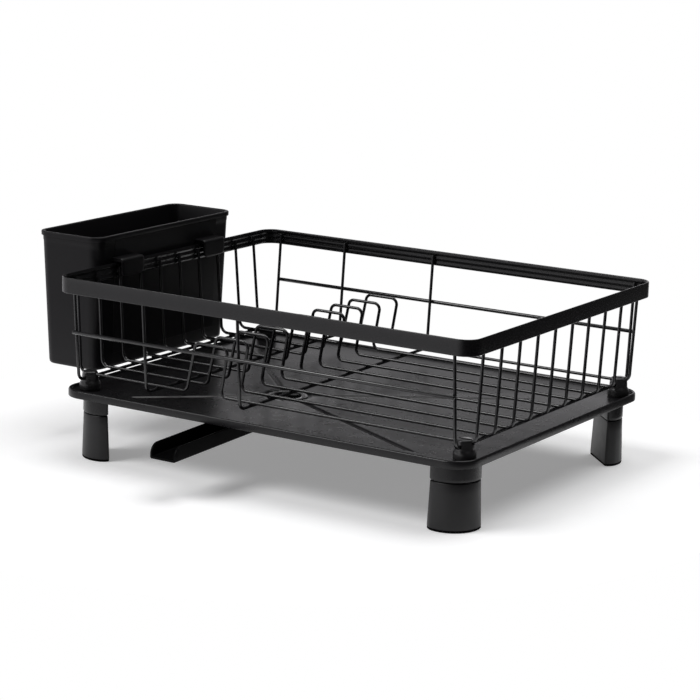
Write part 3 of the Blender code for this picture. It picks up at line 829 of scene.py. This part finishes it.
def make_drain():
    """Flanged ring through the tray and the cup, and the washer between them."""
    base = DRAIN_LOW.z
    flange = DRAIN_SEAT_Z + GAP
    tube_r = DRAIN_BORE - GAP
    snap = DRAIN_BORE + 1.2 * MM
    ring = [
        (RING_BORE, flange + 0.5 * MM), (RING_BORE + 0.25 * MM, flange + 1.0 * MM),
        (RING_BORE + 0.9 * MM, flange + 1.3 * MM), (18.9 * MM, flange + 1.3 * MM),
        (19.6 * MM, flange + 1.1 * MM), (19.95 * MM, flange + 0.7 * MM),
        (20 * MM, flange + 0.2 * MM), (19.8 * MM, flange), (tube_r, flange),
        (tube_r, base + 2.0 * MM), (snap, base + 1.5 * MM), (snap, base + 1.1 * MM),
        (DRAIN_BORE, base), (RING_BORE + 0.3 * MM, base), (RING_BORE, base + 0.3 * MM),
    ]
    form = bmesh.new()
    turned(form, ring, DRAIN, ring=True)
    piece("drain_ring_surface", form, "drain_ring", DRAIN_GLOSS)
    low, high = cad("drain_seal")
    inner, outer, edge = SEAL_BORE, SEAL_RADIUS, SEAL_EDGE
    washer = [
        (inner + edge, low.z), (outer - edge, low.z), (outer, low.z + edge), (outer, high.z - edge),
        (outer - edge, high.z), (inner + edge, high.z), (inner, high.z - edge), (inner, low.z + edge),
    ]
    form = bmesh.new()
    turned(form, washer, DRAIN, ring=True)
    piece("drain_seal_surface", form, "drain_seal", RUBBER)


SPOUT_FALL = 0.0274         # fall per length
SPOUT_SIDE = 13.7 * MM      # height
SPOUT_ROUND = 9 * MM        # of the side walls at the tip
SPOUT_WALL = 2 * MM
SPOUT_HALF = 14 * MM
SPOUT_START = -18 * MM      # from the drain's centre
CUP_RADIUS = 23 * MM
CUP_WALL = 2 * MM
CUP_BASE = 43.2 * MM


def spout_section(y, floor, side):
    """U-shaped section of the channel at y: rounded outside corners, rounded wall tops."""
    half, wall = SPOUT_HALF, SPOUT_WALL
    turn, inner_turn, lip = 1.6 * MM, 1.2 * MM, 0.55 * MM
    top = floor + side
    right = arc((half - turn, floor + turn), turn, 270, 360, 5)
    right += arc((half - lip, top - lip), lip, 0, 90, 4)
    right += arc((half - wall + lip, top - lip), lip, 90, 180, 4)
    right += arc((half - wall - inner_turn, floor + wall + inner_turn), inner_turn, 360, 270, 4)
    left = [(-x, z) for x, z in reversed(right)]
    return [(x, y, z) for x, z in right + left]


def make_spout():
    """Open channel that falls to its tip, joined to the cup round the drain."""
    low, high = cad("drain_spout")
    tip = low.y
    tip_floor = low.z
    cup_top = high.z
    straight = DRAIN.y + SPOUT_START - tip - SPOUT_ROUND
    turns = [math.pi / 2 * step / 12 for step in range(13)]
    stations = [tip + SPOUT_ROUND * (1 - math.cos(turn)) for turn in turns]
    stations += [tip + SPOUT_ROUND + straight * step / 8 for step in range(1, 9)]
    loops = []
    for y in stations:
        floor = tip_floor + (y - tip) * SPOUT_FALL
        into = min(1.0, (y - tip) / SPOUT_ROUND)
        drop = SPOUT_ROUND * (1 - math.sqrt(max(0.0, 1 - (1 - into) ** 2)))
        loops.append(spout_section(y, floor, SPOUT_SIDE - drop))
    channel = bmesh.new()
    skin(channel, loops)
    for vert in channel.verts:
        vert.co.x += DRAIN.x
    cup = bmesh.new()
    turned(cup, [
        (CUP_RADIUS - 1.2 * MM, CUP_BASE), (CUP_RADIUS - 0.35 * MM, CUP_BASE + 0.35 * MM),
        (CUP_RADIUS, CUP_BASE + 1.2 * MM), (CUP_RADIUS, cup_top - 0.6 * MM),
        (CUP_RADIUS - 0.6 * MM, cup_top),
    ], DRAIN)
    cup_floor, cup_roof = CUP_BASE + CUP_WALL, cup_top - CUP_WALL
    bowl = bmesh.new()
    turned(bowl, [(CUP_RADIUS - CUP_WALL, cup_floor), (CUP_RADIUS - CUP_WALL, cup_roof)], DRAIN)
    bore = bmesh.new()
    turned(bore, [(DRAIN_BORE, CUP_BASE + 6 * MM), (DRAIN_BORE, cup_top + 5 * MM)], DRAIN)
    inner = SPOUT_HALF - SPOUT_WALL
    inlet = block((DRAIN.x - inner, DRAIN.y - 30 * MM, cup_floor),
                  (DRAIN.x + inner, DRAIN.y - 5 * MM, cup_roof))
    cuts = [("DIFFERENCE", cutter) for cutter in (inlet, bowl, bore)]
    mesh = boolean(cup, [("UNION", channel), *cuts])
    piece_from_mesh("drain_spout_surface", mesh, "drain_spout", SPOUT_BLACK_PAINTED_SHADE, 36)


# ---- cutlery holder -----------------------------------------------------------
HOLDER_LOW, HOLDER_HIGH = cad("cutlery_holder")
HOLDER_X = (HOLDER_LOW.x, -226.9 * MM)
HOLDER_Y = (HOLDER_LOW.y, HOLDER_HIGH.y)
HOLDER_TOP = HOLDER_HIGH.z
HOLDER_BASE = HOLDER_LOW.z
HOLDER_WALL = 2 * MM
HOLDER_CORNER = 12 * MM
LIP_DEPTH = 1.6 * MM
LIP_HEIGHT = 4.5 * MM
DRAFT = 0.0322              # taper per height of each side
HOOK_Y = 67 * MM
HOOK_HALF = 17 * MM
HOOK_TOP = 180.3 * MM
HOOK_BOTTOM = 162.5 * MM
HOOK_INSIDE = -218.6 * MM
HOOK_PLATE = 2.5 * MM
HOOK_EDGE = 0.7 * MM        # rounding of the plate's edges
HOOK_CORNER = 6 * MM
HOOK_COLUMNS = 18
HOOK_ROWS = 14
PANEL_Y = (-80 * MM, 86 * MM)
PANEL_Z = (HOLDER_BASE + 14 * MM, HOLDER_TOP - 5.2 * MM)


def holder_loop(z, offset):
    """Holder outline at a height, moved out by offset from the tapered wall."""
    inward = LIP_DEPTH + (HOLDER_TOP - z) * DRAFT - offset
    low = Vector((HOLDER_X[0] + inward, HOLDER_Y[0] + inward, 0))
    high = Vector((HOLDER_X[1] - inward, HOLDER_Y[1] - inward, 0))
    return rounded_rect(low, high, HOLDER_CORNER + offset, z)


def hook_strap(form, middle_y):
    """Hook over the rim: an arm from the wall that bends down into a round-cornered plate."""
    wall_x = HOLDER_X[1] - 4.2 * MM
    outer_x = HOOK_INSIDE + HOOK_PLATE
    arm_low = RIM_HIGH.z + GAP
    turn, inner_turn = 3.6 * MM, 0.5 * MM
    outside = [(wall_x, HOOK_TOP), (wall_x + 6 * MM, HOOK_TOP)]
    outside += arc((outer_x - turn, HOOK_TOP - turn), turn, 90, 0, 9)
    inside = [(wall_x, arm_low), (wall_x + 6 * MM, arm_low)]
    inside += arc((HOOK_INSIDE - inner_turn, arm_low - inner_turn), inner_turn, 90, 0, 9)
    for step in range(1, HOOK_ROWS + 1):
        share = step / HOOK_ROWS
        z_out = (HOOK_TOP - turn) * (1 - share) + HOOK_BOTTOM * share
        z_in = (arm_low - inner_turn) * (1 - share) + HOOK_BOTTOM * share
        edge = HOOK_EDGE * smooth_step((HOOK_BOTTOM + 1.2 * MM - z_out) / (1.2 * MM))
        outside.append((outer_x - edge, z_out))
        inside.append((HOOK_INSIDE + edge * 0.6, z_in))
    loops = []
    for (xo, zo), (xi, zi) in zip(outside, inside):
        below = HOOK_CORNER - min(max(zo - HOOK_BOTTOM, 0), HOOK_CORNER)
        half = HOOK_HALF - HOOK_CORNER + math.sqrt(max(0.0, HOOK_CORNER ** 2 - below ** 2))
        front, back = [], []
        for column in range(HOOK_COLUMNS + 1):
            across = -1 + 2 * column / HOOK_COLUMNS
            y = middle_y + half * math.copysign(abs(across) ** 0.85, across)
            soft = HOOK_EDGE * smooth_step((abs(across) - 0.9) / 0.1) * 0.7
            thick = Vector((xo - xi, zo - zi)).normalized() * soft
            front.append((xo - thick.x, y, zo - thick.y))
            back.append((xi + thick.x, y, zi + thick.y))
        loops.append(front + back[::-1])
    skin(form, loops)


def holder_panel(form):
    """Thin raised panel on the wall behind the rim, its edges slightly bevelled."""
    corners = [(PANEL_Y[side], PANEL_Z[end]) for side, end in ((0, 0), (1, 0), (1, 1), (0, 1))]
    middle_z = sum(PANEL_Z) / 2
    loops = []
    for proud, shrink in ((-0.8 * MM, 0), (0.05 * MM, 0), (0.3 * MM, 0.25 * MM)):
        outline = []
        for y, z in corners:
            y -= math.copysign(shrink, y)
            z -= math.copysign(shrink, z - middle_z)
            wall = HOLDER_X[1] - LIP_DEPTH - (HOLDER_TOP - z) * DRAFT
            outline.append((wall + proud, y, z))
        loops.append(outline)
    skin(form, loops)


def make_holder():
    """Tapered open box with a rolled lip, a small step under it, a panel and two hooks."""
    top, base, lip = HOLDER_TOP, HOLDER_BASE, HOLDER_TOP - LIP_HEIGHT
    floor = base + HOLDER_WALL
    step_z = lip - 5 * MM
    rows = (    # height and offset: up the inside, over the lip and down the outside
        (floor, -HOLDER_WALL - 3.0 * MM), (floor + 0.4 * MM, -HOLDER_WALL - 1.3 * MM),
        (floor + 1.3 * MM, -HOLDER_WALL - 0.35 * MM), (floor + 3.0 * MM, -HOLDER_WALL),
        (top - 1.2 * MM, -HOLDER_WALL), (top - 0.5 * MM, -HOLDER_WALL + 0.2 * MM),
        (top - 0.12 * MM, -HOLDER_WALL + 0.75 * MM), (top, -HOLDER_WALL + 1.4 * MM),
        (top, LIP_DEPTH - 1.2 * MM), (top - 0.2 * MM, LIP_DEPTH - 0.5 * MM),
        (top - 0.7 * MM, LIP_DEPTH - 0.1 * MM), (top - 1.3 * MM, LIP_DEPTH),
        (lip + 0.5 * MM, LIP_DEPTH), (lip + 0.12 * MM, LIP_DEPTH - 0.15 * MM),
        (lip, LIP_DEPTH - 0.5 * MM), (lip, 0.45 * MM), (lip - 0.2 * MM, 0.15 * MM),
        (lip - 0.7 * MM, 0.05 * MM), (step_z + 0.5 * MM, 0.05 * MM), (step_z, -0.22 * MM),
        (step_z - 4 * MM, -0.22 * MM), (base + 3.5 * MM, 0.0), (base + 1.6 * MM, -0.35 * MM),
        (base + 0.5 * MM, -1.2 * MM), (base, -2.4 * MM),
    )
    form = bmesh.new()
    skin(form, [holder_loop(z, offset) for z, offset in rows])
    holder_panel(form)
    for side in (-1, 1):
        hook_strap(form, side * HOOK_Y)
    piece("cutlery_holder_surface", form, "cutlery_holder", HOLDER_BLACK, 40)


# ---- studio -------------------------------------------------------------------
FLOOR_RADIUS = 0.44
FLOOR_Z = -0.2 * MM         # a hair below the feet
FLOOR_GLOW = 0.27
SIDE_LIGHT = (0.68, 0.04)   # strength of the surround on the left and on the right
DIM_ABOVE = 0.16            # share of it that is left high up
HORIZON = ((0.0, 1.0), (0.015, 2.8), (0.06, 2.4), (0.13, 1.0))   # gain at a height in the surround
SUNS = (    # name, then azimuth, elevation and width in degrees, and strength
    ("key", -38, 48, 28, 1.5),
    ("top", 150, 72, 50, 1.65),
)
CAMERA_TURN = (32.431, 12.589, 1.454)   # azimuth, elevation and roll in degrees
CAMERA_PLACE = Vector((1.1909, -1.8862, 0.6043))
CAMERA_LENS = 123.36


def toward(azimuth, elevation):
    """Unit vector to the viewer for angles in radians; azimuth 0 is the front."""
    level = math.cos(elevation)
    return Vector((math.sin(azimuth) * level, -math.cos(azimuth) * level, math.sin(elevation)))


def make_floor():
    """Plain pale floor that shadows fall on, with a faint glow so that they stay soft."""
    form = bmesh.new()
    form.faces.new([form.verts.new(point) for point in circle(FLOOR_RADIUS, FLOOR_Z, count=128)])
    mesh = mesh_from("floor", form)
    mat = bpy.data.materials.new("pale_floor")
    mat.use_nodes = True
    shader = mat.node_tree.nodes["Principled BSDF"]
    shader.inputs["Base Color"].default_value = (0.86, 0.86, 0.865, 1)
    shader.inputs["Roughness"].default_value = 0.9
    shader.inputs["Specular IOR Level"].default_value = 0.0
    shader.inputs["Emission Color"].default_value = (1, 1, 1, 1)
    shader.inputs["Emission Strength"].default_value = FLOOR_GLOW
    mesh.materials.append(mat)
    floor = linked("floor", mesh)


def soft_sun(name, azimuth, elevation, spread, strength):
    """Far soft light from a direction, as wide in the sky as its spread in degrees."""
    light = bpy.data.lights.new(name, "SUN")
    light.angle = math.radians(spread)
    light.energy = strength
    back = toward(math.radians(azimuth), math.radians(elevation))
    linked(name, light).rotation_euler = (-back).to_track_quat("-Z", "Y").to_euler()


def make_world():
    """Surround that looks white, and lights brightly from low on the left and dimly elsewhere."""
    world = bpy.data.worlds.new("studio")
    bpy.context.scene.world = world
    world.use_nodes = True
    nodes = world.node_tree.nodes
    links = world.node_tree.links
    nodes.clear()
    axes = nodes.new("ShaderNodeSeparateXYZ")
    links.new(nodes.new("ShaderNodeTexCoord").outputs["Generated"], axes.inputs[0])

    def fade(source, start, end, low, high):
        node = nodes.new("ShaderNodeMapRange")
        node.interpolation_type = "SMOOTHSTEP"
        node.inputs["From Min"].default_value = start
        node.inputs["From Max"].default_value = end
        node.inputs["To Min"].default_value = low
        node.inputs["To Max"].default_value = high
        links.new(source, node.inputs["Value"])
        return node.outputs["Result"]

    def product(first, second):
        node = nodes.new("ShaderNodeMath")
        node.operation = "MULTIPLY"
        links.new(first, node.inputs[0])
        links.new(second, node.inputs[1])
        return node.outputs[0]

    side = fade(axes.outputs["X"], -0.45, 0.45, *SIDE_LIGHT)
    height = fade(axes.outputs["Z"], 0.16, 0.52, 1.0, DIM_ABOVE)
    glow = nodes.new("ShaderNodeValToRGB")
    for index, (place, level) in enumerate(HORIZON):
        stop = glow.color_ramp.elements[index] if index < 2 else glow.color_ramp.elements.new(place)
        stop.position = place
        stop.color = (level, level, level, 1)
    links.new(axes.outputs["Z"], glow.inputs["Fac"])
    soft = nodes.new("ShaderNodeBackground")
    strength = product(product(side, height), glow.outputs["Color"])
    links.new(strength, soft.inputs["Strength"])
    soft.inputs["Color"].default_value = (0.99, 0.975, 1.0, 1)
    plain = nodes.new("ShaderNodeBackground")
    plain.inputs["Color"].default_value = (1, 1, 1, 1)
    mix = nodes.new("ShaderNodeMixShader")
    links.new(nodes.new("ShaderNodeLightPath").outputs["Is Camera Ray"], mix.inputs[0])
    links.new(soft.outputs[0], mix.inputs[1])
    links.new(plain.outputs[0], mix.inputs[2])
    output = nodes.new("ShaderNodeOutputWorld")
    links.new(mix.outputs[0], output.inputs["Surface"])


def make_camera():
    """Camera to the right of the front, looking a little down."""
    azimuth, elevation, roll = (math.radians(angle) for angle in CAMERA_TURN)
    back = toward(azimuth, elevation)
    level = Vector((math.cos(azimuth), math.sin(azimuth), 0))
    upright = back.cross(level)
    right = level * math.cos(roll) + upright * math.sin(roll)
    up = upright * math.cos(roll) - level * math.sin(roll)
    camera = linked("camera", bpy.data.cameras.new("camera"))
    camera.data.lens = CAMERA_LENS
    camera.data.sensor_width = 36
    camera.data.clip_start = 0.05
    camera.data.clip_end = 200
    rotation = Matrix((right, up, back)).transposed().to_4x4()
    camera.matrix_world = Matrix.Translation(CENTRE + CAMERA_PLACE) @ rotation
    bpy.context.scene.camera = camera


def make_studio():
    """Floor, surround and two soft suns, with plain colours."""
    make_floor()
    make_world()
    for sun in SUNS:
        soft_sun(*sun)
    scene = bpy.context.scene
    scene.view_settings.view_transform = "Standard"
    scene.view_settings.look = "None"


# ---- assembly -----------------------------------------------------------------
make_camera()
make_rim()
make_wires()
make_feet()
make_tray()
make_legs()
make_drain()
make_spout()
make_holder()
make_studio()
